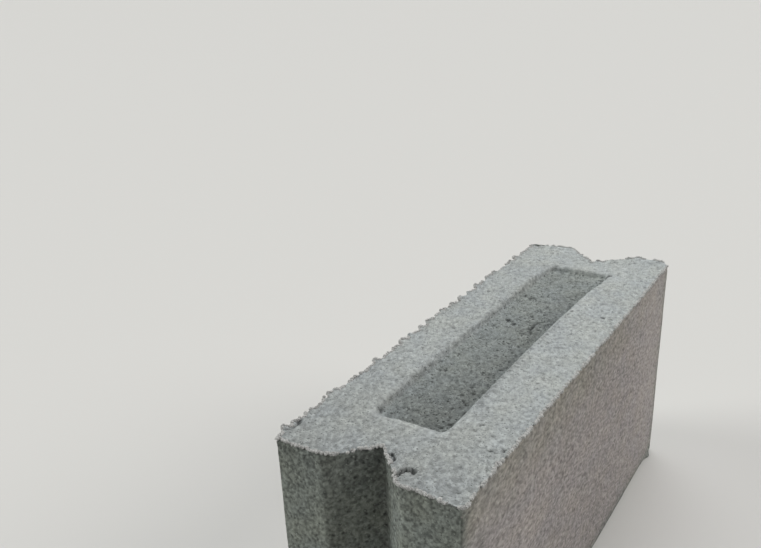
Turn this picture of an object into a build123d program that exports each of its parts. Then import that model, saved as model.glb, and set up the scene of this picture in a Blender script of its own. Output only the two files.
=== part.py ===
"""Solid pressed sand-cement wall block, keyed at both ends and in its top bed.

The block stands on its lower bed with the length along Y, the thickness along X and the
height along Z. The origin is the middle of the lower bed. All sizes are in millimetres.
"""

import os

from build123d import *

# Body
block_length = 400.0
block_thickness = 130.0
block_height = 200.0
corner_radius = 2.0

# Mortar groove down the middle of each end
groove_depth = 25.0
groove_mouth = 55.0
groove_root_radius = 3.0
groove_shoulder_radius = 6.0

# Recess pressed into the top bed, and the flat rim left round it; the press plate sits a
# little nearer the left side
left_rim = 32.5
right_rim = 43.0
rim_behind_groove = 27.0
recess_depth = 5.0
recess_draft_angle = 20.0
recess_corner_radius = 6.0
recess_lip_radius = 3.5
recess_floor_radius = 1.5

recess_width = block_thickness - left_rim - right_rim
recess_length = block_length - 2 * (groove_depth + rim_behind_groove)
recess_middle = (left_rim - right_rim) / 2

# How far apart two lengths may be and still count as the same when corners are picked
same_length = 0.01


def corners_beside_middle(sketch, distance):
    """Corners of a sketch that lie this far to either side of its middle line."""
    return sketch.vertices().filter_by(lambda corner: abs(abs(corner.X) - distance) < same_length)


with BuildPart() as block:
    # The outline seen from above is the same at every height: a rectangle with a V cut
    # into each short side, its root and shoulders rounded by the mould
    with BuildSketch() as outline:
        Rectangle(block_thickness, block_length)
        with BuildLine():
            Polyline(
                (-groove_mouth / 2, block_length / 2),
                (0, block_length / 2 - groove_depth),
                (groove_mouth / 2, block_length / 2),
                close=True,
            )
        groove = make_face(mode=Mode.SUBTRACT)
        mirror(groove, about=Plane.XZ, mode=Mode.SUBTRACT)
        fillet(corners_beside_middle(outline, 0), radius=groove_root_radius)
        fillet(corners_beside_middle(outline, groove_mouth / 2), radius=groove_shoulder_radius)
        fillet(corners_beside_middle(outline, block_thickness / 2), radius=corner_radius)
    extrude(amount=block_height)

    # The press plate leaves a shallow recess whose walls lean outwards so that it lifts clear
    with BuildSketch(Plane((recess_middle, 0, block_height))):
        RectangleRounded(recess_width, recess_length, radius=recess_corner_radius)
    extrude(amount=-recess_depth, taper=recess_draft_angle, mode=Mode.SUBTRACT)

    top_bed = block.faces().sort_by(Axis.Z)[-1]
    fillet(top_bed.inner_wires()[0].edges(), radius=recess_lip_radius)
    recess_floor = block.faces().filter_by(Axis.Z).sort_by(Axis.Z)[-2]
    fillet(recess_floor.edges(), radius=recess_floor_radius)

block.part.label = "block"

os.makedirs("parts", exist_ok=True)
export_step(block.part, "parts/block.step")
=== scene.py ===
"""Looks of a solid pressed sand-cement wall block, keyed at both ends and in its top bed.

The body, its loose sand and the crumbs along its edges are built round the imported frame,
which stands on its lower bed with the length along Y, the thickness along X and the height
along Z. The near end is at -Y and the right side at +X. Sizes are in metres.
"""

import math

import bmesh
import bpy
import numpy as np
from bpy.props import FloatProperty, FloatVectorProperty, IntProperty, PointerProperty
from bpy.types import Operator, Panel, PropertyGroup
from mathutils import Matrix, Vector, noise


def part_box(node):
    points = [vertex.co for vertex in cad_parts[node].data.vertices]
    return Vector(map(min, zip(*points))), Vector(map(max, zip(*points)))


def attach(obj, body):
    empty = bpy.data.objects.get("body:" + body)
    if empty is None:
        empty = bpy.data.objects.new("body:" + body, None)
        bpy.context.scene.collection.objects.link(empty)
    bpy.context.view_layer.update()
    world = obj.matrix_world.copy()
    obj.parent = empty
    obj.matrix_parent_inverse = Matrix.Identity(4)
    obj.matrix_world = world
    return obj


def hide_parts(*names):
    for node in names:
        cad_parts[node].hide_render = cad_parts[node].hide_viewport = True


bl_info = {
    "name": "Pressed Sand-Cement Block",
    "version": (1, 0, 0),
    "blender": (4, 5, 0),
    "location": "3D View > Sidebar > Block",
    "description": "Dresses a packed wall block in pressed sand and cement, with its stage",
    "category": "Object",
}

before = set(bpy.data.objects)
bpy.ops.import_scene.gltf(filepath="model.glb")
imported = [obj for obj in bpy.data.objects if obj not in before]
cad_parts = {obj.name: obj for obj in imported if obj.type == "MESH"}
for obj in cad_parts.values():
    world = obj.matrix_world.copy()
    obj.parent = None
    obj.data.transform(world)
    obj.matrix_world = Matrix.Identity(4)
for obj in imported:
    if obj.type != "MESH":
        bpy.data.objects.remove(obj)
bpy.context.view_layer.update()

MM = 0.001

# The block stands on the middle of its lower bed, so its highest corner gives half its width
# and length, and its whole height
half_thickness, half_length, block_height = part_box("block")[1]


def linear(hex_colour):
    """Linear red, green and blue of an sRGB colour written as hex digits."""
    parts = [int(hex_colour[place : place + 2], 16) / 255 for place in (0, 2, 4)]
    return [part / 12.92 if part <= 0.04045 else ((part + 0.055) / 1.055) ** 2.4 for part in parts]


def length_setting(name, description, size):
    """Setting for a length, its default given in millimetres."""
    return FloatProperty(name=name, description=description, default=size * MM, unit="LENGTH")


def colour_setting(name, description, hex_colour):
    """Setting for a colour, its default given as sRGB hex digits."""
    default = linear(hex_colour)
    return FloatVectorProperty(name=name, description=description, default=default, subtype="COLOR")


class BlockFormSettings(PropertyGroup):
    """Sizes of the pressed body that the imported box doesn't give."""

    corner_radius: length_setting("Corner Radius", "Rounding of the four upright corners", 2.0)
    groove_depth: length_setting("Groove Depth", "Depth of the mortar groove in each end", 25.0)
    groove_mouth: length_setting("Groove Mouth", "Width of the groove at the end face", 55.0)
    groove_root_radius: length_setting("Groove Root", "Rounding at the bottom of the groove", 3.0)
    groove_shoulder_radius: length_setting("Groove Shoulder", "Rounding where the groove meets the end", 6.0)
    left_rim: length_setting("Left Rim", "Flat top left of the recess", 32.5)
    right_rim: length_setting("Right Rim", "Flat top right of the recess", 43.0)
    rim_behind_groove: length_setting("End Rim", "Flat top between groove and recess", 27.0)
    recess_depth: length_setting("Recess Depth", "How deep the press plate sinks into the top", 5.0)
    recess_draft: FloatProperty(
        name="Recess Draft", description="Lean of the recess walls", default=math.radians(20),
        unit="ROTATION",
    )
    recess_corner_radius: length_setting("Recess Corner", "Rounding of the recess seen from above", 6.0)
    recess_lip_radius: length_setting("Recess Lip", "Rounding where the rim meets the wall", 3.5)
    recess_floor_radius: length_setting("Recess Floor Edge", "Rounding where the wall meets the floor", 1.5)
    plate_turn: FloatProperty(
        name="Plate Turn", description="Skew of the top bed beyond the ends of the recess",
        default=math.radians(0.7), unit="ROTATION",
    )
    plate_shift: length_setting("Plate Shift", "How far the recess sits towards the far end", 4.0)


class BlockSurfaceSettings(PropertyGroup):
    """Relief, sand and colours of the pressed surface."""

    burr_reach: length_setting("Burr Reach", "How far the ragged top edge stands out", 1.4)
    far_ridge: length_setting("Far Ridge", "Height of the sand heaped along the far top edge", 1.0)
    rim_relief: length_setting("Rim Relief", "Height of the open sand texture on the top", 0.42)
    floor_relief: length_setting("Recess Relief", "Height of the texture in the recess", 0.65)
    face_relief: length_setting("Face Relief", "Height of the texture on the moulded faces", 0.35)
    grain_size: length_setting("Grain Size", "Coarse grain, drawn a little wider than its 1 to 2 mm", 2.1)
    crust_colour: colour_setting("Crust", "Dry crust of the top bed", "aaaead")
    pressed_colour: colour_setting("Pressed Floor", "Damp, dense floor of the recess", "888d8b")
    # Crumbs are drawn lighter than the crust: partly pale dry crust, partly a painted highlight along the top
    # edge
    crumb_colour: colour_setting("Crumbs", "Dry crumbs along the top edge", "b4b4b2")
    # The sides' warmth and the ends' darker green are partly a painted tint and shade of the light on each
    side_colour: colour_setting("Long Sides", "Moulded long sides", "a59f9d")
    side_upper_colour: colour_setting("Upper Sides", "Browner sand near the top of the long sides", "9b9891")
    end_colour: colour_setting("Ends", "Moulded ends and grooves", "818680")
    seed: IntProperty(name="Seed", description="Start of every random draw", default=7, min=0)


class BlockStageSettings(PropertyGroup):
    """Floor, lights and camera round the block."""

    floor_colour: colour_setting("Floor", "Plain pale studio floor", "cecdca")
    floor_reach: length_setting("Floor Reach", "Half the width of the floor", 60000.0)
    sky_strength: FloatProperty(name="Sky Strength", description="Brightness all round", default=0.035, min=0)
    camera_lens: FloatProperty(name="Lens", description="Focal length in millimetres", default=36.4, min=1)


def add(tree, kind, inputs=None, **settings):
    """Adds a node, sets its properties, and fills or links its inputs by name or number.

    A node given for an input stands for its first output.
    """
    node = tree.nodes.new(kind)
    for name, value in settings.items():
        setattr(node, name, value)
    for key, value in (inputs or {}).items():
        value = value.outputs[0] if isinstance(value, bpy.types.Node) else value
        if isinstance(value, bpy.types.NodeSocket):
            tree.links.new(value, node.inputs[key])
        else:
            node.inputs[key].default_value = value
    return node


def stations(spans):
    """Places along spans of (start, end, step) joined end to end, with an even number of gaps."""
    places = [spans[0][0]]
    for start, end, step in spans:
        pieces = max(1, round((end - start) / step))
        places += [start + (end - start) * number / pieces for number in range(1, pieces + 1)]
    if len(places) % 2 == 0:
        places.insert(1, (places[0] + places[1]) / 2)
    return np.array(places)


def random_heights(points, size, seed, octaves=2):
    """Smooth random heights, about -1 to 1, with bumps about this many millimetres wide."""
    width = size * MM
    shift = Vector((seed * 7.31, seed * 3.17, seed * 5.73))
    return np.array([noise.fractal(Vector(point) / width + shift, 1.0, 2.1, octaves) for point in points])


def pebble_heights(points, size, seed):
    """Round bumps this many millimetres wide, side by side, 0 between them and 1 on top."""
    width = size * MM
    shift = Vector((seed * 2.9, seed * 6.1, seed * 4.3))
    nearest = np.array([noise.voronoi(Vector(point) / width + shift)[0][0] for point in points])
    return 1 - np.clip(nearest / 0.75, 0, 1) ** 2


def sand_relief(points, seed, grains, grain_size, waves):
    """Relief of packed grains under wider waves, each wave as (height, width in mm, octaves)."""
    relief = grains * (pebble_heights(points, grain_size, seed) - 0.5)
    for number, (height, width, octaves) in enumerate(waves, 1):
        relief += height * random_heights(points, width, seed + number, octaves)
    return relief


def soft_step(low, high, value):
    """Rises smoothly from 0 at low to 1 at high."""
    share = np.clip((value - low) / (high - low), 0, 1)
    return share * share * (3 - 2 * share)


def soft_step_mm(low, high, distance):
    """The same between two distances in millimetres."""
    return soft_step(low * MM, high * MM, distance)


def bell(distance, width):
    """Falls smoothly from 1 at no distance to almost 0 two widths away."""
    return np.exp(-((distance / width) ** 2))


def level(x, y):
    """Points without height, for patterns drawn on the top bed."""
    return np.column_stack((x, y, np.zeros_like(x)))


def groove_cut(form, across):
    """How far the mortar groove cuts into an end at each place across it."""
    half_mouth = form.groove_mouth / 2
    lean = math.atan2(form.groove_depth, half_mouth)
    off_middle = np.abs(across)
    cut = np.clip(form.groove_depth * (1 - off_middle / half_mouth), 0, None)

    root = form.groove_root_radius
    root_reach = root * math.sin(lean)
    root_centre = form.groove_depth - root / math.cos(lean)
    root_arc = root_centre + np.sqrt(root**2 - np.minimum(off_middle, root_reach) ** 2)
    cut = np.where(off_middle < root_reach, root_arc, cut)

    shoulder = form.groove_shoulder_radius
    shoulder_start = half_mouth + shoulder * math.tan(lean / 2)
    shoulder_reach = shoulder * math.sin(lean)
    into_shoulder = np.clip(shoulder_start - off_middle, 0, shoulder_reach)
    shoulder_arc = shoulder - np.sqrt(shoulder**2 - into_shoulder**2)
    on_shoulder = (into_shoulder > 0) & (into_shoulder < shoulder_reach)
    return np.where(on_shoulder, shoulder_arc, cut)


def recess_profile(form):
    """Distances inside the recess outline and the depth at each, both edges of the wall rounded."""
    turn = math.pi / 2 - form.recess_draft
    wall_run = form.recess_depth * math.tan(form.recess_draft)
    lip, foot = form.recess_lip_radius, form.recess_floor_radius
    lip_start = -lip * math.tan(turn / 2)
    foot_end = wall_run + foot * math.tan(turn / 2)
    angles = np.linspace(0, turn, 7)
    inset = np.concatenate((lip_start + lip * np.sin(angles), foot_end - foot * np.sin(angles[::-1])))
    depth = np.concatenate((
        lip * (1 - np.cos(angles)), form.recess_depth - foot * (1 - np.cos(angles[::-1]))
    ))
    return inset, depth


def end_wall(form):
    """Half the length of the recess."""
    return half_length - form.groove_depth - form.rim_behind_groove


def recess_inset(form, across, along):
    """How far inside the recess outline a place of the top bed is; negative on the rim."""
    middle = (form.left_rim - form.right_rim) / 2
    half_wide = half_thickness - (form.left_rim + form.right_rim) / 2
    round_off = form.recess_corner_radius
    beyond_x = np.abs(across - middle) - half_wide + round_off
    beyond_y = np.abs(along - form.plate_shift) - end_wall(form) + round_off
    outside = np.hypot(np.clip(beyond_x, 0, None), np.clip(beyond_y, 0, None))
    return round_off - outside - np.minimum(np.maximum(beyond_x, beyond_y), 0)


# Damage of this block, in millimetres: pits as (across, along, radius, depth)
FLOOR_PITS = (
    (12, -86, 2.4, 1.6), (8, -79, 1.6, 1.2), (11, -98, 1.6, 1.0), (15, -101, 1.8, 1.2), (9, -110, 1.6, 1.0),
    (-20, -67, 2.0, 1.2), (-24, -68, 1.5, 1.0), (13, -120, 1.8, 1.2), (18, -127, 1.8, 1.2),
    (14, -133, 1.6, 1.0), (0, -120, 1.5, 1.0), (-8, -130, 1.5, 0.9), (-5, -134, 1.5, 0.9),
    (-28, -138, 1.5, 0.9), (-17.5, 32.4, 2.3, 2.8), (-13.5, 30.5, 1.7, 2.4), (-9.5, 27, 2.2, 2.8),
    (20, 57, 1.7, 1.0), (-25, 83, 1.7, 1.0), (-12, 87, 1.6, 1.0), (0, 88, 1.6, 1.0), (8, 98, 1.8, 1.1),
    (12, 134, 1.8, 1.1), (18, 130, 1.6, 1.0), (-26, -88, 1.5, 0.8), (-19, -124, 1.5, 0.9),
    (10, -62, 1.4, 0.9), (-10, -45, 1.4, 0.8), (2, -30, 1.5, 0.9),
)
RIM_PITS = (
    (38, -125, 1.4, 1.4), (55, -147, 1.6, 1.5), (62, -143, 1.6, 1.4), (37, -132, 1.3, 0.9),
    (60, -70, 2.0, 0.8), (-43, -12, 1.6, 1.0), (45, 136, 1.6, 0.9), (32, 100, 1.5, 0.9), (51, 61, 2.4, 0.9),
    (37, 190, 1.5, 0.9), (46, -119, 1.3, 1.0), (50, -133, 1.4, 1.2), (57, -190, 1.5, 1.4),
    (64, -176, 1.5, 1.5), (-53, -197, 1.4, 1.0), (-27, -190, 1.4, 0.8), (6.5, -179.5, 2.2, 3.4),
    (10.6, -182.2, 1.5, 2.2), (24.5, -186.4, 2.2, 3.2),
)
# Cracks, as (width, depth, points across and along)
CRACKS = (
    (1.6, 3.6, ((20, -196), (20.3, -193), (20.8, -189.6), (22, -187.2), (24, -186.1), (27, -186.6))),
    (0.7, 1.3, ((-62.6, -190), (-62.2, -186), (-62.6, -181), (-63.6, -176))),
    (1.2, 1.6, ((14, 18), (8.2, 17.3), (5.7, 23), (5.0, 31), (6.5, 39), (10.5, 41.9))),
    (1.0, 1.2, ((-19.5, 78.8), (-18.6, 83), (-14.2, 80.4))),
    (1.3, 1.2, ((19, 146.5), (24, 148.4), (28, 150))),
)
# Crust that hangs out over the top edge and bites out of it, as (across, along, radius, reach)
EDGE_LUMPS = (
    (-20, -194, 5, 1.5), (-10, -184, 4, -2.2), (-3, -177, 5, -2.2), (25, -200, 6, 1.2), (48, -200, 16, 0.8),
    (-56, -200, 6, -2.0), (-43, -200, 6, -1.0), (-31, -200, 6, -2.4), (-14, -188, 4, -1.0),
    (6, -180, 2.5, -1.6), (-65, -186, 3.5, -1.6), (-65, -160, 12, -0.9), (-65, 9, 22, 1.3),
    (-65, 100, 30, 0.9), (-65, -45, 3, -1.5), (-65, -17, 3, -1.4), (65, -158, 3, -1.2), (65, -92, 2.5, -1.2),
    (-45, 200, 14, 0.8), (45, 200, 16, 0.9), (30, -200, 2.4, 1.3), (36.5, -200, 2.2, -1.2),
    (43, -200, 2.6, 1.0), (55, -200, 2.4, 1.3), (59.5, -200, 3, 0.5), (65, -196, 4, 1.4),
)
# Sand heaped on the far top edge and places worn down in it, as (across, along, radius, height)
FAR_HEAPS = (
    (-65, 200, 13, -3.0), (-32, 200, 12, 0.6), (0, 175, 3, -1.5), (5, 178.5, 3, 1.6), (10, 184, 3, -1.0),
    (24, 197, 3, -1.2), (38, 200, 8, 1.0), (56, 200, 9, 1.8), (65, 200, 3, -1.5),
)
# How far each long lip of the recess strays to the right, as (along, stray)
LEFT_LIP = (
    (-140, 1.5), (-100, 0.6), (-60, 0.5), (-30, 0), (0, 1), (60, 0.6), (90, 0.7), (110, 1.6), (130, 2.4),
    (146, 4),
)
RIGHT_LIP = (
    (-135, 0.9), (-115, 0.6), (-90, 0.1), (-60, -0.6), (20, -0.9), (50, -0.9), (75, -0.1), (90, 0.3),
    (105, 0.6), (118, 1.8), (128, 3.4), (146, 4.2),
)
# Lump of cement at the foot of the right side, as (along, half width, half height, reach)
FOOT_LUMP = (186, 6, 3, 3.4)

# Deepest bite out of the top edge and longest burr on it
DEEPEST_BITE, LONGEST_BURR = -2.6 * MM, 3.2 * MM
# Beside the near left corner of the recess the wall is worn back by this much over this width,
# this far from the corner, and slumped sand fills a patch out to this radius
CORNER_WEAR, WEAR_WIDTH, WEAR_PLACE = 2 * MM, 8 * MM, 9 * MM
SLUMP_CORE, SLUMP_RADIUS = 2 * MM, 6.5 * MM

# Spacing of the grid: fine along the top edge and across the wall of the recess, else coarser
FINE_STEP, COARSE_ACROSS, COARSE_ALONG = 0.7 * MM, 1.2 * MM, 1.3 * MM
EDGE_BAND, WALL_OUT, WALL_IN = 2 * MM, 3.0 * MM, 4.2 * MM
# Rings of the walls, as (from, to, spacing) down from the top of a block 200 mm high
RING_SPANS = ((0, 6, 0.8), (6, 20, 2), (20, 60, 4), (60, 180, 8), (180, 196, 4), (196, 199.4, 1.2))


def distance_to_path(across, along, points):
    """Shortest distance from each place to a path of straight runs."""
    nearest = np.full(across.shape, np.inf)
    for (ax, ay), (bx, by) in zip(points, points[1:]):
        run_x, run_y = bx - ax, by - ay
        share = ((across - ax) * run_x + (along - ay) * run_y) / (run_x**2 + run_y**2)
        share = np.clip(share, 0, 1)
        nearest = np.minimum(nearest, np.hypot(across - ax - share * run_x, along - ay - share * run_y))
    return nearest


def mounds(x, y, places):
    """Height of soft mounds and hollows, each as (across, along, radius, height) in millimetres."""
    return sum(
        height * MM * bell(np.hypot(x / MM - px, y / MM - py), radius) for px, py, radius, height in places
    )


def damage_depths(across, along, seed):
    """Depth of pits and cracks in the top bed, their outlines broken by the sand."""
    flat = level(across, along)
    x = across / MM + 1.3 * random_heights(flat, 2.6, seed)
    y = along / MM + 1.3 * random_heights(flat, 2.6, seed + 1)
    depth = np.zeros(x.shape)
    for px, py, radius, deep in FLOOR_PITS + RIM_PITS:
        fill = soft_step(0.3 * radius, 1.15 * radius, np.hypot(x - px, y - py))
        depth = np.maximum(depth, deep * (1 - fill))
    for width, deep, points in CRACKS:
        fill = soft_step(0.4 * width, 1.3 * width, distance_to_path(x, y, points))
        depth = np.maximum(depth, deep * (1 - fill))
    return depth * MM


def edge_overhang(surface, x, y):
    """How far the top edge stands out: in teeth on the left, ragged on the ends, little on the right."""
    flat = level(x, y)
    seed = surface.seed + 20
    ragged = 0.7 * random_heights(flat, 4, seed) + 0.5 * random_heights(flat, 14, seed + 1)
    teeth = np.clip(random_heights(flat, 7, seed + 2) - 0.05, 0, None)
    on_left = soft_step(-half_thickness + 16 * MM, -half_thickness, x)
    on_right = soft_step(half_thickness - 6 * MM, half_thickness - 1 * MM, x)
    on_right *= soft_step_mm(3, 10, half_length - np.abs(y))
    ragged *= 1 + 0.5 * on_left - 0.75 * on_right
    reach = surface.burr_reach * (ragged + 4.8 * teeth * on_left + 0.15 * (1 - on_right))
    return np.clip(reach + mounds(x, y, EDGE_LUMPS), DEEPEST_BITE, LONGEST_BURR)


def top_bed(form):
    """Grid of the top bed, finest along the outer edge and along the wall of the recess."""

    def lines(edge, low_wall, high_wall, coarse_step):
        places = (
            -edge, -edge + EDGE_BAND, low_wall - WALL_OUT, low_wall + WALL_IN,
            high_wall - WALL_IN, high_wall + WALL_OUT, edge - EDGE_BAND, edge,
        )
        steps = (FINE_STEP, coarse_step) * 3 + (FINE_STEP,)
        return stations(list(zip(places, places[1:], steps)))

    left, right = form.left_rim - half_thickness, half_thickness - form.right_rim
    near, far = form.plate_shift - end_wall(form), form.plate_shift + end_wall(form)
    return np.meshgrid(
        lines(half_thickness, left, right, COARSE_ACROSS), lines(half_length, near, far, COARSE_ALONG)
    )


def place_outline(form, u, v):
    """Maps the plain grid onto the keyed outline: the rows follow the grooves near the ends."""
    straight = end_wall(form) + form.plate_shift + WALL_OUT
    into_end = np.clip((np.abs(v) - straight) / (half_length - straight), 0, 1)
    y = v - np.sign(v) * groove_cut(form, u) * into_end
    flat_edge = half_thickness - form.corner_radius
    corner_u = np.clip(np.abs(u) - flat_edge, 0, None)
    corner_v = np.clip(np.abs(v) - half_length + form.corner_radius, 0, None)
    reach = np.maximum(corner_u, corner_v)
    length = np.maximum(np.hypot(corner_u, corner_v), 1e-9)
    in_corner = (corner_u > 0) & (corner_v > 0)
    x = np.where(in_corner, np.sign(u) * (flat_edge + corner_u / length * reach), u)
    y = np.where(in_corner, np.sign(v) * (half_length - form.corner_radius + corner_v / length * reach), y)
    return x, y


def outward_directions(form, u, v, y):
    """Unit directions out of the nearer side or end, and the distance to that edge."""
    slope = (groove_cut(form, u + 0.1 * MM) - groove_cut(form, u - 0.1 * MM)) / (0.2 * MM)
    length = np.hypot(slope, 1)
    to_side = half_thickness - np.abs(u)
    to_end = np.clip((half_length - groove_cut(form, u) - np.abs(y)) / length, 0, None)
    lean = soft_step_mm(-1.5, 1.5, to_end - to_side)
    direction_x = lean * np.sign(u) + (1 - lean) * slope / length
    direction_y = (1 - lean) * np.sign(v) / length
    size = np.maximum(np.hypot(direction_x, direction_y), 1e-9)
    return direction_x / size, direction_y / size, np.minimum(to_side, to_end)


def perimeter(rows, columns):
    """Indices of the grid's border, anticlockwise seen from above."""
    numbers = np.arange(rows * columns).reshape(rows, columns)
    return np.concatenate((numbers[0], numbers[1:, -1], numbers[-1, -2::-1], numbers[-2:0:-1, 0]))


def grid_faces(rows, columns, start, upward):
    """Quads of a grid of vertices that begins at this index."""
    numbers = start + np.arange(rows * columns).reshape(rows, columns)
    quads = np.stack((numbers[:-1, :-1], numbers[:-1, 1:], numbers[1:, 1:], numbers[1:, :-1]), axis=-1)
    return quads.reshape(-1, 4)[:, ::1 if upward else -1].tolist()


def sideways_stray(form, u, v):
    """How far the grid lines of the top bed stray sideways with the skewed, worn lips of the recess."""
    left_lip, right_lip = (np.interp(v / MM, *zip(*lip)) * MM for lip in (LEFT_LIP, RIGHT_LIP))
    on_right = soft_step_mm(-20, 10, u)
    stray = left_lip * (1 - on_right) + right_lip * on_right
    skew = math.tan(form.plate_turn) * np.clip(v, -end_wall(form), end_wall(form))
    along_recess = soft_step(half_length - form.groove_depth, end_wall(form), np.abs(v))
    off_side = (half_thickness - np.abs(u)) / min(form.left_rim, form.right_rim)
    return (stray * along_recess + skew * (1 - along_recess)) * np.clip(off_side, 0, 1)


def sink_recess(form, u, v, x, y, flat, seed):
    """Distance inside the recess outline, depth of the recess, and 1 on its floor and 0 on the rim."""
    corner_x, corner_y = form.left_rim - half_thickness, form.plate_shift - end_wall(form)
    inset = recess_inset(form, u, v)
    worn_away = np.hypot(u - corner_x - WEAR_PLACE, v - corner_y)
    inset += CORNER_WEAR * bell(worn_away, WEAR_WIDTH)
    from_slump = np.hypot(x - corner_x, 0.6 * (y - corner_y - WEAR_PLACE))
    slump = 1 - soft_step(SLUMP_CORE, SLUMP_RADIUS, from_slump)
    wavy = inset + 0.5 * MM * random_heights(flat, 5, seed)
    # The plate dragged sand over the near edge as it lifted, so the wall there is a long soft slope
    wavy *= 1 - 0.55 * soft_step(corner_y + 16 * MM, corner_y + 5 * MM, y)
    depth = np.interp(wavy, *recess_profile(form)) * (1 - 0.75 * slump)
    return inset, depth, soft_step_mm(0.4, 3.6, wavy) * (1 - slump)


def shape_top(form, surface, u, v):
    """Points of the top bed with recess, relief and ragged edge, and the masks that go with them."""
    x, y = place_outline(form, u, v)
    out_x, out_y, edge_distance = outward_directions(form, u, v, y)
    x = x + sideways_stray(form, u, v)
    flat = level(x, y)
    seed = surface.seed
    inset, recess, in_recess = sink_recess(form, u, v, x, y, flat, seed + 15)
    damage = damage_depths(x, y, seed + 30)
    overhang = edge_overhang(surface, x, y)
    near_edge = bell(edge_distance, 2.2 * MM)

    # The dragged sand left the lip smooth at the near end, least at its left corner
    near_wall = form.plate_shift - end_wall(form)
    smooth_lip = soft_step_mm(-9, -3, inset) * (1 - soft_step_mm(0, 1.5, inset))
    smooth_lip *= soft_step(near_wall + 50 * MM, near_wall + 25 * MM, y)
    smooth_lip *= soft_step_mm(-60, -10, x)

    rim = surface.rim_relief * sand_relief(flat, seed, 0.8, 3.2, ((0.5, 3.4, 2), (0.3, 8, 2), (0.8, 45, 1)))
    rim *= (1 - 0.6 * smooth_lip) * (1 - 0.3 * soft_step_mm(-20, -40, x))
    open_pores = np.clip(random_heights(flat, 4, seed + 13) - 0.25, 0, 1)
    floor = sand_relief(flat, seed + 4, 0.8, 3.7, ((0.5, 3.6, 2), (0.8, 11, 2)))
    floor = surface.floor_relief * (floor - 2.2 * open_pores)
    worn = 0.5 * MM * near_edge * (1 + random_heights(flat, 5, seed + 7))
    heaped = surface.far_ridge * soft_step(0.5 * half_length, 0.95 * half_length, y)
    heaped *= bell(edge_distance, 5 * MM) * (0.8 + 0.5 * random_heights(flat, 9, seed + 14))
    z = block_height - recess + rim * (1 - in_recess) + floor * in_recess - damage - worn + heaped
    z += mounds(x, y, FAR_HEAPS) + 0.5 * near_edge * np.clip(overhang, 0, None)
    shift = overhang * bell(edge_distance, 2.5 * MM)
    points = np.column_stack((x + out_x * shift, y + out_y * shift, z))

    sound = 1 - np.clip(damage / (0.6 * MM), 0, 1)
    masks = {
        "pressed": in_recess,
        # Painted shade in the pits, cracks and open pores of the recess, over the dents themselves
        "hollow": np.clip(damage / (1.2 * MM) + 0.6 * in_recess * open_pores, 0, 1),
        "smooth_lip": smooth_lip,
        # Slightly lighter along the top edge: partly pale dry crust, partly a painted highlight where the
        # edge catches the light
        "edge": near_edge,
        # Painted shade, and below zero painted light, laid over the top bed's colour
        "damp": bed_painted_shading(form, x, y, u, v, in_recess),
        "rim_cover": (1 - in_recess) * sound * (1 - 0.8 * smooth_lip),
        "recess_cover": in_recess * sound,
    }
    outline, outward = np.column_stack((x, y)), np.column_stack((out_x, out_y))
    return points, outline, outward, edge_distance, overhang, masks


def bed_painted_shading(form, x, y, u, v, in_recess):
    """Painted shading of the top bed: how much darker each place is drawn, as painted shade; below zero it is
    drawn lighter, as painted light.
    """
    from_left = (u + half_thickness - form.left_rim) / MM
    from_right = (half_thickness - form.right_rim - u) / MM
    from_near = (v - form.plate_shift + end_wall(form)) / MM
    from_far = (end_wall(form) + form.plate_shift - v) / MM
    beside_recess = soft_step(-2, 12, from_near) * soft_step(-2, 12, from_far)
    short_of_far = soft_step(25, 55, from_far)
    along_foot = short_of_far * soft_step(25, 100, from_near)
    along_lip = beside_recess * soft_step(5, 40, from_near) * soft_step(85, 130, from_far)
    on_rim = 1 - in_recess

    # Painted shade: darker towards the near end, and a little darker on the left than the right, most on the
    # left rim
    damp = np.exp(-(y + half_length) / (135 * MM)) * (1.15 + 0.7 * in_recess)
    damp *= 1 - 0.06 * x / half_thickness
    damp += 0.3 * on_rim * soft_step_mm(-10, 40, -x) * bell(y - 60 * MM, 90 * MM)
    # Painted shade and painted light on the floor of the recess: darker towards its right side, lighter
    # towards its left side and its far end
    damp += in_recess * (0.7 * soft_step_mm(-24, 14, x) - 0.3) * short_of_far
    damp -= 0.15 * in_recess * (1 - short_of_far)
    # Bands of painted shade and, below zero, painted light beside the walls of the recess: shade at the foot
    # of the right wall, on the left wall and on the rim by the right lip, light on the floor along the left
    # and far walls; how much, where, and their middle and width from a wall, in mm
    for amount, where, distance, middle, width in (
        (0.3, in_recess * along_foot, from_right, 7.5, 3.5),
        (0.35, beside_recess, from_left, 1.5, 1.5),
        (-0.65, in_recess, from_left, 5, 3),
        (-0.15, in_recess * bell(from_near - 10, 10), from_left, 8, 7),
        (-0.5, in_recess, from_far, 6, 5),
        (-2, in_recess, from_far, 1.9, 0.9),
        (0.6, on_rim * along_lip, from_right, -2, 2.2),
    ):
        damp += amount * where * bell(distance - middle, width)
    return damp


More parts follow.
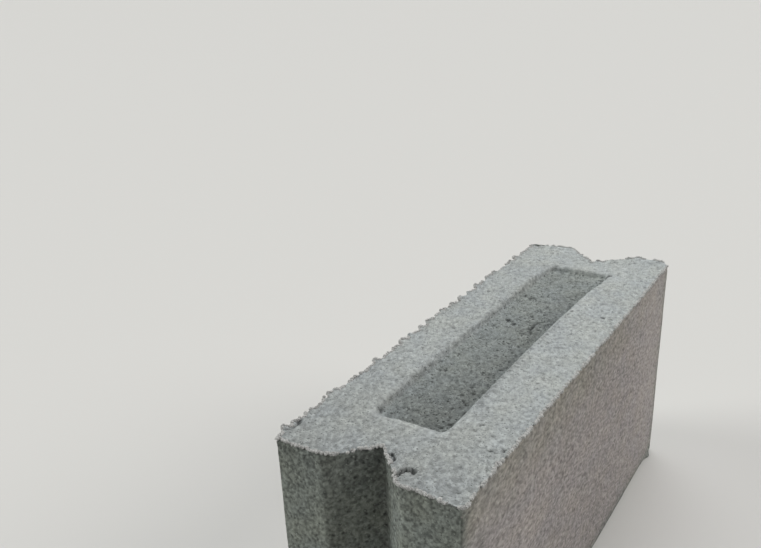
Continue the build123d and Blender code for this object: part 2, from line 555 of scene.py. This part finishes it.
def shape_walls(form, surface, outline, outward, overhang):
    """Points of the rings below the top edge, down to just above the floor, and their masks."""
    seed = surface.seed
    drops = stations(np.array(RING_SPANS) * MM)[1:] * (block_height / (200 * MM))
    rings = len(drops)
    heights = np.repeat(block_height - drops, len(outline))
    points = np.column_stack((np.tile(outline, (rings, 1)), heights))
    outward, overhang = np.tile(outward, (rings, 1)), np.tile(overhang, rings)
    drop, height = block_height - points[:, 2], points[:, 2]
    on_sides = soft_step(0.85, 0.95, np.abs(outward[:, 0]))
    to_end = half_length - np.abs(points[:, 1])

    # The mould left the texture open near the top and closed below, under wide gentle waves
    open_texture = sand_relief(points, seed + 8, 0.6, 2.8, ((0.9, 3.5, 2),))
    open_texture *= 1 - soft_step_mm(6, 24, drop)
    push = surface.face_relief * (open_texture + 0.9 * random_heights(points, 30, seed + 11))
    lump_place, lump_width, lump_height, lump_reach = (size * MM for size in FOOT_LUMP)
    lump = lump_reach * bell(points[:, 1] - lump_place, lump_width) * bell(height, lump_height)
    push += overhang * bell(drop, 2.2 * MM) + lump * (points[:, 0] > 0) * on_sides
    push -= 0.5 * MM * bell(height, 1.2 * MM)
    points[:, :2] += outward * push[:, None]

    y = points[:, 1]
    patchy = random_heights(points, 14, seed + 16)
    near_share = 1 - 0.7 * soft_step(-0.2 * half_length, 0.8 * half_length, y)
    side_painted_shading = 1 - soft_step(0.1 * half_length, half_length, y)
    off_edges = soft_step_mm(0, 2, drop) * soft_step_mm(0, 3, height)
    masks = {
        "edge": bell(drop, 1.1 * MM),
        # Painted shade: on the long sides darker towards the near end, on the ends darker near the top edge
        # under the overhanging crust
        "damp": np.where(on_sides > 0.5, side_painted_shading, np.exp(-drop / (24 * MM))),
        # Painted shade deep in the groove of each end, darkest at its root
        "groove": np.clip((half_length - np.abs(y)) / form.groove_depth, 0, 1) * (1 - on_sides),
        "upper": np.clip((bell(drop, 34 * MM) + 0.25 * patchy) * near_share, 0, 1),
        "border": np.clip(np.exp(-height / (7 * MM)) + np.exp(-to_end / (6 * MM)) + 0.15 * patchy, 0, 1),
        "side_cover": on_sides * off_edges,
        "end_cover": (1 - on_sides) * off_edges,
    }
    return points, rings, masks


def build_body(form, surface):
    """Mesh of the pressed body, with its relief, its ragged top edge and its damage."""
    u, v = top_bed(form)
    rows, columns = u.shape
    top, outline, outward, edge_distance, overhang, top_masks = shape_top(form, surface, u.ravel(), v.ravel())
    loop = perimeter(rows, columns)
    wall, ring_total, wall_masks = shape_walls(form, surface, outline[loop], outward[loop], overhang[loop])

    # The lower bed has half as many rows and columns, and a ring of faces joins it to the walls
    bed_rows, bed_columns = (rows + 1) // 2, (columns + 1) // 2
    keep = np.arange(rows * columns).reshape(rows, columns)[::2, ::2].ravel()
    pull_in = 0.9 * MM * bell(edge_distance[keep], 1.5 * MM)
    bed = level(*(outline[keep] - outward[keep] * pull_in[:, None]).T)
    hollows = 0.5 * MM * random_heights(bed, 6, surface.seed + 12, 3) - 0.1 * MM
    bed[:, 2] = np.clip(hollows, 0, None) * soft_step_mm(0, 4, edge_distance[keep])

    points = np.concatenate((top, wall, bed))
    faces = grid_faces(rows, columns, 0, True)
    top_faces = len(faces)
    rings = [loop, *(len(top) + np.arange(len(wall)).reshape(ring_total, -1))]
    for upper, lower in zip(rings, rings[1:]):
        faces += np.column_stack((np.roll(upper, -1), upper, lower, np.roll(lower, -1))).tolist()
    wall_faces = len(faces)
    bed_start = len(top) + len(wall)
    faces += grid_faces(bed_rows, bed_columns, bed_start, False)
    bed_loop = perimeter(bed_rows, bed_columns) + bed_start
    last = rings[-1]
    for place, corner in enumerate(bed_loop):
        first, second, third = (last[(2 * place + step) % len(last)] for step in range(3))
        faces.append((third, second, first, corner, bed_loop[(place + 1) % len(bed_loop)]))

    mesh = bpy.data.meshes.new("pressed_body")
    mesh.from_pydata(points.tolist(), [], [tuple(int(corner) for corner in face) for face in faces])
    parts = ((len(top), top_masks), (len(wall), wall_masks), (len(bed), {}))
    for name in sorted({*top_masks, *wall_masks}):
        values = np.concatenate([masks.get(name, np.zeros(count)) for count, masks in parts])
        layer = mesh.attributes.new(name, "FLOAT", "POINT")
        layer.data.foreach_set("value", values.astype(np.float32))
    top_edge = np.zeros(len(points), bool)
    top_edge[loop] = True
    mesh.attributes.new("top_edge", "BOOLEAN", "POINT").data.foreach_set("value", top_edge)

    # Slots: 0 top bed, 1 long sides, 2 ends, 3 lower bed
    centres = np.zeros(len(mesh.polygons) * 3, np.float32)
    mesh.polygons.foreach_get("center", centres)
    on_side = np.abs(centres[::3]) > half_thickness - 1.5 * MM
    slots = np.zeros(len(mesh.polygons), np.int32)
    slots[top_faces:] = np.where(on_side[top_faces:], 1, 2)
    slots[wall_faces:] = 3
    mesh.polygons.foreach_set("material_index", slots)
    mesh.polygons.foreach_set("use_smooth", np.ones(len(mesh.polygons), bool))
    mesh.update()
    return mesh


def bare_material(name):
    """New material with an empty tree, and the place on the object to draw its patterns at."""
    material = bpy.data.materials.new(name)
    material.use_nodes = True
    tree = material.node_tree
    tree.nodes.clear()
    return material, tree, add(tree, "ShaderNodeTexCoord").outputs["Object"]


def weighted_sum(tree, total, layers):
    """Adds layers of (socket, weight) to a total, one after the other."""
    for source, weight in layers:
        total = add(tree, "ShaderNodeMath", {0: source, 1: weight, 2: total}, operation="MULTIPLY_ADD")
    return total


def sand_cement(
    name, colour, grain, contrast, bump, drawn_out=1.0, turned=(0, 0, 0), mottling=0.35, streak=0.0,
    shades=(), blends=(),
):
    """Sand bound with grey cement: a matt, dry, mottled finish of grains with dark pores between.

    The grains are drawn out by this factor, along the block or turned away from it, the way that
    the mould or the striking board dragged them. Shades are (mask, amount) that lighten or darken,
    and blends are (mask, colour) laid over the base colour.
    """
    material, tree, here = bare_material(name)
    place = add(
        tree, "ShaderNodeMapping", {"Vector": here, "Rotation": turned, "Scale": (1, drawn_out, 1)},
        vector_type="TEXTURE",
    )
    dragged = add(tree, "ShaderNodeMapping", {"Vector": here, "Scale": (1, 1, 0.15)})

    grains, pores = (
        add(tree, "ShaderNodeTexVoronoi", {"Vector": place, "Scale": 1 / width})
        for width in (grain, 1.9 * grain)
    )
    fine, mottle, clouds, tint, drag = (
        add(tree, "ShaderNodeTexNoise", {"Vector": where, "Scale": 1 / width, "Detail": detail})
        for where, width, detail in (
            (place, 1.2 * grain, 1.5), (place, 2.2 * grain, 2.0), (place, 45 * MM, 2.0),
            (place, 22 * MM, 2.0), (dragged, 2.5 * MM, 3.0),
        )
    )
    grain_tone, pore_pick = (
        add(tree, "ShaderNodeSeparateColor", {0: cells.outputs["Color"]}) for cells in (grains, pores)
    )
    # About one cell in three has a pore in its middle
    pore_here = add(
        tree, "ShaderNodeMapRange",
        {"Value": pores.outputs["Distance"], "From Min": 0.08, "From Max": 0.38, "To Min": 1, "To Max": 0},
    )
    pore_chosen = add(tree, "ShaderNodeMapRange", {"Value": pore_pick, "From Min": 0.55, "From Max": 0.75})
    pore = add(tree, "ShaderNodeMath", {0: pore_here, 1: pore_chosen}, operation="MULTIPLY")

    # Tone is 0.5 where nothing lightens or darkens the base colour
    layers = [
        (grain_tone, 0.35 * contrast), (fine, 1.1 * contrast), (mottle, mottling * contrast),
        (clouds, 0.25 * contrast), (drag, streak),
    ]
    middle = 0.5 - sum(amount for _, amount in layers) / 2
    layers.append((pore, -0.5 * contrast))
    for mask, amount in shades:
        layers.append((add(tree, "ShaderNodeAttribute", attribute_name=mask).outputs["Fac"], amount))
    tone = weighted_sum(tree, middle, layers)
    painted = (*colour, 1)
    for mask, laid in blends:
        layer = add(tree, "ShaderNodeAttribute", attribute_name=mask)
        painted = add(
            tree, "ShaderNodeMix", {"Factor": layer.outputs["Fac"], 6: painted, 7: (*laid, 1)},
            data_type="RGBA",
        ).outputs[2]
    ramp = add(tree, "ShaderNodeValToRGB", {"Fac": tone})
    stops = ramp.color_ramp.elements
    stops[0].position, stops[0].color = 0.0, (0.22, 0.22, 0.22, 1)
    stops[1].position, stops[1].color = 1.0, (1.75, 1.75, 1.75, 1)
    for position, share in ((0.3, 0.6), (0.5, 1.0), (0.7, 1.35)):
        stops.new(position).color = (share, share, share, 1)
    tint_share = add(tree, "ShaderNodeMapRange", {"Value": tint, "From Min": 0.35, "From Max": 0.65})
    cooler, warmer = (0.985, 0.997, 1.02, 1), (1.01, 1.004, 0.98, 1)
    hue = add(tree, "ShaderNodeMix", {"Factor": tint_share, 6: cooler, 7: warmer}, data_type="RGBA")
    for shade in (ramp, hue.outputs[2]):
        painted = add(
            tree, "ShaderNodeMix", {"Factor": 1.0, 6: painted, 7: shade},
            data_type="RGBA", blend_type="MULTIPLY",
        ).outputs[2]

    height = weighted_sum(tree, fine, ((grains.outputs["Distance"], -0.6), (pore, -0.9)))
    relief = add(tree, "ShaderNodeBump", {"Strength": bump, "Distance": 0.5 * grain, "Height": height})
    # Cement keeps the shader's own IOR of 1.5, and is too rough and dusty to shine
    shader = add(
        tree, "ShaderNodeBsdfPrincipled",
        {"Base Color": painted, "Roughness": 0.92, "Specular IOR Level": 0.25, "Normal": relief},
    )
    add(tree, "ShaderNodeOutputMaterial", {"Surface": shader})
    return material


def struck_crust(surface):
    """Top bed struck off and dried: pale, open-grained, with dark pores between the grains."""
    return sand_cement(
        "struck_sand_cement", surface.crust_colour, 1.15 * surface.grain_size, 0.39, 0.5,
        drawn_out=1.35, turned=(0, 0, math.radians(25)),
        # Painted shade in pits and cracks and across the top bed, and a slight lightening along the top edge,
        # partly painted highlight
        shades=(("hollow", -0.4), ("smooth_lip", 0.05), ("edge", 0.04), ("damp", -0.14)),
        blends=(("pressed", surface.pressed_colour),),
    )


def moulded_side(surface):
    """Long side drawn out of a steel mould: fine and flat, dry, slightly warm partly as a painted tint of the
    warm light on that side, browner above, with painted shade towards the near end.
    """
    return sand_cement(
        "moulded_sand_cement_side", surface.side_colour, 0.95 * surface.grain_size, 0.45, 0.22,
        drawn_out=1.65, turned=(math.radians(-12), 0, 0), mottling=0.6,
        shades=(("damp", -0.085), ("border", -0.06)),
        blends=(
            ("upper", surface.side_upper_colour), ("border", surface.end_colour),
            ("edge", surface.crust_colour),
        ),
    )


def moulded_end(surface):
    """Keyed end drawn out of a steel mould: darker and slightly green, partly its own colour and partly a
    painted tint and shade of the light on the ends, with painted shade under the top edge and deep in the
    groove.
    """
    return sand_cement(
        "moulded_sand_cement_end", surface.end_colour, 0.92 * surface.grain_size, 0.74, 0.55,
        drawn_out=1.2, turned=(math.radians(50), 0, math.radians(-90)), mottling=0.45, streak=0.14,
        shades=(("damp", -0.14), ("groove", -0.1)), blends=(("edge", surface.crust_colour),),
    )


def lower_bed_finish(surface):
    """Face that stood on the pallet board: flat and tight, with few open pores."""
    return sand_cement("pallet_face_sand_cement", surface.end_colour, surface.grain_size, 0.4, 0.3)


def loose_grain(name, colour, spread, painted_shading_share):
    """Single sand grain in a skin of cement: matt, each a little lighter or darker than the next."""
    material, tree, here = bare_material(name)
    skin = add(tree, "ShaderNodeTexNoise", {"Vector": here, "Scale": 1 / (0.7 * MM), "Detail": 2.0})
    own, damp = (
        add(tree, "ShaderNodeAttribute", attribute_name=layer).outputs["Fac"] for layer in ("tone", "damp")
    )
    skin_spread = 0.3
    middle = 1 - (spread + skin_spread) / 2
    # Each grain takes the body's painted shading, drawn darker where the body is drawn darker
    tone = weighted_sum(tree, middle, ((own, spread), (damp, -painted_shading_share), (skin, skin_spread)))
    grey = add(tree, "ShaderNodeCombineColor", {0: tone, 1: tone, 2: tone})
    painted = add(
        tree, "ShaderNodeMix", {"Factor": 1.0, 6: grey, 7: (*colour, 1)},
        data_type="RGBA", blend_type="MULTIPLY",
    )
    shader = add(
        tree, "ShaderNodeBsdfPrincipled",
        {"Base Color": painted.outputs[2], "Roughness": 0.85, "Specular IOR Level": 0.3},
    )
    add(tree, "ShaderNodeOutputMaterial", {"Surface": shader})
    return material


SOCKET_KINDS = {float: "Float", int: "Int", str: "String", type(None): "Material"}
GRAIN_INPUTS = {
    "Least Radius": 0.4 * MM, "Greatest Radius": 1.0 * MM, "Roughness": 0.3 * MM, "Seed": 1, "Material": None,
}


def new_tree(name, inputs):
    """Geometry tree with these named inputs and their defaults, and its input sockets."""
    tree = bpy.data.node_groups.new(name, "GeometryNodeTree")
    for way in ("INPUT", "OUTPUT"):
        tree.interface.new_socket("Geometry", in_out=way, socket_type="NodeSocketGeometry")
    for label, default in inputs.items():
        kind = "NodeSocket" + SOCKET_KINDS[type(default)]
        socket = tree.interface.new_socket(label, in_out="INPUT", socket_type=kind)
        if default is not None:
            socket.default_value = default
    return tree, add(tree, "NodeGroupInput").outputs


def grain_radius(tree, given):
    """Random radius of each grain, with far more small grains than large ones."""
    share = add(tree, "FunctionNodeRandomValue", {2: 0.0, 3: 1.0, "Seed": given["Seed"]})
    weighted = add(tree, "ShaderNodeMath", {0: share.outputs[1], 1: 2.2}, operation="POWER")
    limits = {"To Min": given["Least Radius"], "To Max": given["Greatest Radius"]}
    return add(tree, "ShaderNodeMapRange", {"Value": weighted, **limits})


def place_grains(tree, given, points, radius):
    """Puts an angular grain on each point, realized, with a tone of its own, and ends the tree."""
    stone = add(tree, "GeometryNodeMeshIcoSphere", {"Radius": 1.0, "Subdivisions": 1})
    full_turn, narrowest, widest = 6.283, 0.65, 1.2
    turn, squash = (
        add(
            tree, "FunctionNodeRandomValue", {0: (low,) * 3, 1: (high,) * 3, "Seed": seed},
            data_type="FLOAT_VECTOR",
        )
        for low, high, seed in ((0, full_turn, 11), (narrowest, widest, 12))
    )
    scale = add(tree, "ShaderNodeVectorMath", {0: squash, "Scale": radius}, operation="SCALE")
    grains = add(
        tree, "GeometryNodeInstanceOnPoints",
        {"Points": points, "Instance": stone, "Rotation": turn, "Scale": scale},
    )
    tone = add(tree, "FunctionNodeRandomValue", {2: 0.0, 3: 1.0, "Seed": 13})
    toned = add(
        tree, "GeometryNodeStoreNamedAttribute",
        {"Geometry": grains, "Name": "tone", "Value": tone.outputs[1]},
        data_type="FLOAT", domain="INSTANCE",
    )
    real = add(tree, "GeometryNodeRealizeInstances", {"Geometry": toned})
    # Bumps narrower than a grain push its corners about, so that no two grains are alike
    bumps = add(tree, "ShaderNodeTexNoise", {"Scale": 1 / (0.8 * MM), "Detail": 1.0})
    centred = add(
        tree, "ShaderNodeVectorMath", {0: bumps.outputs["Color"], 1: (-0.5, -0.5, -0.5)}, operation="ADD"
    )
    push = add(tree, "ShaderNodeVectorMath", {0: centred, "Scale": given["Roughness"]}, operation="SCALE")
    broken = add(tree, "GeometryNodeSetPosition", {"Geometry": real, "Offset": push})
    flat = add(tree, "GeometryNodeSetShadeSmooth", {"Geometry": broken, "Shade Smooth": False})
    dressed = add(tree, "GeometryNodeSetMaterial", {"Geometry": flat, "Material": given["Material"]})
    add(tree, "NodeGroupOutput", {0: dressed})
    return tree


def sand_tree():
    """Sows grains over the part of a surface that a mask attribute covers, each sunk in its bed."""
    tree, given = new_tree("sow_sand", {
        "Cover": "rim_cover", "Spacing": 1.5 * MM, "Grains per Area": 300000.0, "Sink": 0.4, **GRAIN_INPUTS
    })
    cover = add(tree, "GeometryNodeInputNamedAttribute", {"Name": given["Cover"]}, data_type="FLOAT")
    sown = add(
        tree, "GeometryNodeDistributePointsOnFaces",
        {
            "Mesh": given["Geometry"], "Distance Min": given["Spacing"], "Density Factor": cover,
            "Density Max": given["Grains per Area"], "Seed": given["Seed"],
        },
        distribute_method="POISSON",
    )
    radius = grain_radius(tree, given)
    down = sown.outputs["Normal"]
    for share in (radius, given["Sink"], -1.0):
        down = add(tree, "ShaderNodeVectorMath", {0: down, "Scale": share}, operation="SCALE")
    sunk = add(tree, "GeometryNodeSetPosition", {"Geometry": sown.outputs["Points"], "Offset": down})
    return place_grains(tree, given, sunk, radius)


def crumb_tree():
    """Strews crumbs along the edges that a mask attribute marks, in uneven clumps."""
    tree, given = new_tree("crumble_edges", {
        "Edge": "top_edge", "Spacing": 0.4 * MM, "Scatter": 1.0 * MM, "Clump": 9.0 * MM, "Bare Share": 0.45,
        **GRAIN_INPUTS,
    })
    marked = add(tree, "GeometryNodeInputNamedAttribute", {"Name": given["Edge"]}, data_type="BOOLEAN")
    line = add(tree, "GeometryNodeMeshToCurve", {"Mesh": given["Geometry"], "Selection": marked})
    strung = add(
        tree, "GeometryNodeCurveToPoints", {"Curve": line, "Length": given["Spacing"]}, mode="LENGTH"
    )
    # Crumbs stray sideways by the whole scatter, but little upwards, and a little further down
    wide = given["Scatter"]
    back, low, high = (
        add(tree, "ShaderNodeMath", {0: wide, 1: share}, operation="MULTIPLY")
        for share in (-1.0, -0.3, 0.2)
    )
    least, most = (
        add(tree, "ShaderNodeCombineXYZ", {0: side, 1: side, 2: up})
        for side, up in ((back, low), (wide, high))
    )
    strewn = add(tree, "FunctionNodeRandomValue", {0: least, 1: most, "Seed": 21}, data_type="FLOAT_VECTOR")
    moved = add(tree, "GeometryNodeSetPosition", {"Geometry": strung, "Offset": strewn})
    often = add(tree, "ShaderNodeMath", {0: 1.0, 1: given["Clump"]}, operation="DIVIDE")
    clumps = add(tree, "ShaderNodeTexNoise", {"Scale": often, "Detail": 1.0})
    bare = add(
        tree, "FunctionNodeCompare", {0: clumps, 1: given["Bare Share"]},
        data_type="FLOAT", operation="LESS_THAN",
    )
    kept = add(tree, "GeometryNodeDeleteGeometry", {"Geometry": moved, "Selection": bare})
    return place_grains(tree, given, kept, grain_radius(tree, given))


def new_object(name, data):
    """New object in the scene with this mesh, light or camera."""
    thing = bpy.data.objects.new(name, data)
    bpy.context.scene.collection.objects.link(thing)
    return thing


def grow_piece(name, body, tree, values):
    """Runs a tree over the body's mesh and makes what it grows a piece of its own."""
    host = new_object(name + "_host", body.data)
    modifier = host.modifiers.new(tree.name, "NODES")
    modifier.node_group = tree
    for item in tree.interface.items_tree:
        if item.in_out == "INPUT" and item.name in values:
            modifier[item.identifier] = values[item.name]
    mesh = bpy.data.meshes.new_from_object(host.evaluated_get(bpy.context.evaluated_depsgraph_get()))
    bpy.data.objects.remove(host)
    # Masks that came over from the body have done their work, except the painted shading, which draws grains
    # darker where the body is drawn darker
    masks = [layer.name for layer in body.data.attributes if layer.data_type in ("FLOAT", "BOOLEAN")]
    for mask in masks:
        if mask != "damp" and mask in mesh.attributes and mesh.attributes[mask].domain == "POINT":
            mesh.attributes.remove(mesh.attributes[mask])
    if not mesh.polygons:
        raise RuntimeError(f"{name} came out empty")
    mesh.name = name
    piece = new_object(name, mesh)
    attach(piece, "root")


class BLOCK_OT_press_body(Operator):
    """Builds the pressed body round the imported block"""

    bl_idname = "block.press_body"
    bl_label = "Press Body"

    def execute(self, context):
        form, surface = context.scene.block_form, context.scene.block_surface
        mesh = build_body(form, surface)
        for finish in (struck_crust, moulded_side, moulded_end, lower_bed_finish):
            mesh.materials.append(finish(surface))
        body = new_object("block_body", mesh)
        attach(body, "root")
        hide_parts("block")
        return {"FINISHED"}


class BLOCK_OT_sow_sand(Operator):
    """Sows the coarse grains that stand out of the top bed, the recess and the moulded faces"""

    bl_idname = "block.sow_sand"
    bl_label = "Sow Sand"

    def execute(self, context):
        surface = context.scene.block_surface
        body = bpy.data.objects["block_body"]
        tree = sand_tree()
        # piece, mask, spacing, grains per square metre, least and greatest radius, sink, colour,
        # spread of the tones, and how much the painted shading darkens them; lengths in millimetres
        beds = (
            ("rim_sand", "rim_cover", 1.25, 450000, 0.35, 1.15, 0.5, surface.crust_colour, 0.4, 0.28),
            ("rim_fine_sand", "rim_cover", 1.6, 450000, 0.3, 0.8, 0.35, surface.crust_colour, 0.5, 0.28),
            ("recess_sand", "recess_cover", 1.2, 800000, 0.4, 1.3, 0.42, surface.pressed_colour, 0.9, 0.28),
            ("side_sand", "side_cover", 2.6, 110000, 0.3, 0.9, 0.6, surface.side_colour, 0.5, 0.2),
            ("end_sand", "end_cover", 2.0, 180000, 0.3, 1.0, 0.55, surface.end_colour, 0.9, 0.28),
        )
        for number, (name, cover, spacing, crowd, least, greatest, sink, colour, *tones) in enumerate(beds):
            grow_piece(name, body, tree, {
                "Cover": cover, "Spacing": spacing * MM, "Grains per Area": crowd, "Sink": sink,
                "Least Radius": least * MM, "Greatest Radius": greatest * MM, "Roughness": 0.35 * MM,
                "Seed": surface.seed + number, "Material": loose_grain(name + "_grain", colour, *tones),
            })
        return {"FINISHED"}


class BLOCK_OT_crumble_edges(Operator):
    """Strews crumbs along the ragged top edge"""

    bl_idname = "block.crumble_edges"
    bl_label = "Crumble Edges"

    def execute(self, context):
        surface = context.scene.block_surface
        body = bpy.data.objects["block_body"]
        grow_piece("edge_crumbs", body, crumb_tree(), {
            "Edge": "top_edge", "Spacing": 0.2 * MM, "Scatter": 0.75 * MM, "Clump": 8 * MM,
            "Bare Share": 0.45, "Least Radius": 0.35 * MM, "Greatest Radius": 1.4 * MM, "Roughness": 0.5 * MM,
            "Seed": surface.seed, "Material": loose_grain("edge_crumb", surface.crumb_colour, 0.4, 0.1),
        })
        return {"FINISHED"}


class BLOCK_OT_set_stage(Operator):
    """Lays the pale floor, hangs the soft lights and places the camera"""

    bl_idname = "block.set_stage"
    bl_label = "Set Stage"

    def execute(self, context):
        stage = context.scene.block_stage
        lay_floor(stage)
        light_stage(context, stage)
        place_camera(context, stage)
        return {"FINISHED"}


def lay_floor(stage):
    """Plain pale floor under the block."""
    material = bpy.data.materials.new("pale_matt_floor")
    material.use_nodes = True
    shader = material.node_tree.nodes["Principled BSDF"]
    shader.inputs["Base Color"].default_value = (*stage.floor_colour, 1)
    shader.inputs["Roughness"].default_value = 0.9
    mesh = bpy.data.meshes.new("floor")
    shape = bmesh.new()
    bmesh.ops.create_grid(shape, x_segments=8, y_segments=8, size=stage.floor_reach)
    shape.to_mesh(mesh)
    shape.free()
    mesh.materials.append(material)
    floor = new_object("floor", mesh)


def light_stage(context, stage):
    """Soft light from the right, a broad light from above and behind, and a fill from the left."""
    # name, turn from +X, height above the floor and spread in degrees, strength, colour
    lights = (
        ("right_key", 20, 35, 35, 1.33, "fffcf8"),
        ("overhead", 100, 66, 60, 2.27, "fafbfc"),
        ("left_fill", 207, 20, 24, 1.9, "f6f8f4"),
    )
    for name, turn, height, spread, strength, colour in lights:
        lamp = bpy.data.lights.new(name, "SUN")
        lamp.angle = math.radians(spread)
        lamp.energy = strength
        lamp.color = linear(colour)
        turn, height = math.radians(turn), math.radians(height)
        out = math.cos(height)
        away = Vector((math.cos(turn) * out, math.sin(turn) * out, math.sin(height)))
        light = new_object(name, lamp)
        light.matrix_world = Matrix.Translation(away * 2) @ away.to_track_quat("Z", "Y").to_matrix().to_4x4()
    world = bpy.data.worlds.new("pale_sky")
    world.use_nodes = True
    sky = world.node_tree.nodes["Background"]
    sky.inputs["Color"].default_value = (*linear("f4f6f8"), 1)
    sky.inputs["Strength"].default_value = stage.sky_strength
    context.scene.world = world
    context.scene.view_settings.view_transform = "Standard"


def place_camera(context, stage):
    """Camera at the photograph's place and angle."""
    camera = bpy.data.cameras.new("camera")
    camera.lens = stage.camera_lens
    camera.sensor_width = 36
    camera.clip_start = 0.01
    place = Vector((0.22275, -0.49264, 0.46345))
    turn, height, roll = math.radians(34.78), math.radians(21.47), math.radians(2.65)
    aim = Matrix.Rotation(turn, 4, "Z") @ Matrix.Rotation(math.pi / 2 - height, 4, "X")
    viewer = new_object("camera", camera)
    viewer.matrix_world = Matrix.Translation(place) @ aim @ Matrix.Rotation(-roll, 4, "Z")
    context.scene.camera = viewer


class BLOCK_PT_panel(Panel):
    """Steps of dressing the block, in order"""

    bl_label = "Pressed Block"
    bl_space_type = "VIEW_3D"
    bl_region_type = "UI"
    bl_category = "Block"

    def draw(self, context):
        for place in GROUPS:
            group = getattr(context.scene, place)
            for name in group.__annotations__:
                self.layout.prop(group, name)
        for step in STEPS:
            self.layout.operator(step.bl_idname)


GROUPS = {
    "block_form": BlockFormSettings, "block_surface": BlockSurfaceSettings, "block_stage": BlockStageSettings
}
STEPS = (BLOCK_OT_press_body, BLOCK_OT_sow_sand, BLOCK_OT_crumble_edges, BLOCK_OT_set_stage)
CLASSES = (*GROUPS.values(), *STEPS, BLOCK_PT_panel)


def register():
    for kind in CLASSES:
        bpy.utils.register_class(kind)
    for place, group in GROUPS.items():
        setattr(bpy.types.Scene, place, PointerProperty(type=group))


def unregister():
    for place in GROUPS:
        delattr(bpy.types.Scene, place)
    for kind in reversed(CLASSES):
        bpy.utils.unregister_class(kind)


def main():
    register()
    bpy.ops.block.press_body()
    bpy.ops.block.sow_sand()
    bpy.ops.block.crumble_edges()
    bpy.ops.block.set_stage()


if __name__ == "__main__":
    main()
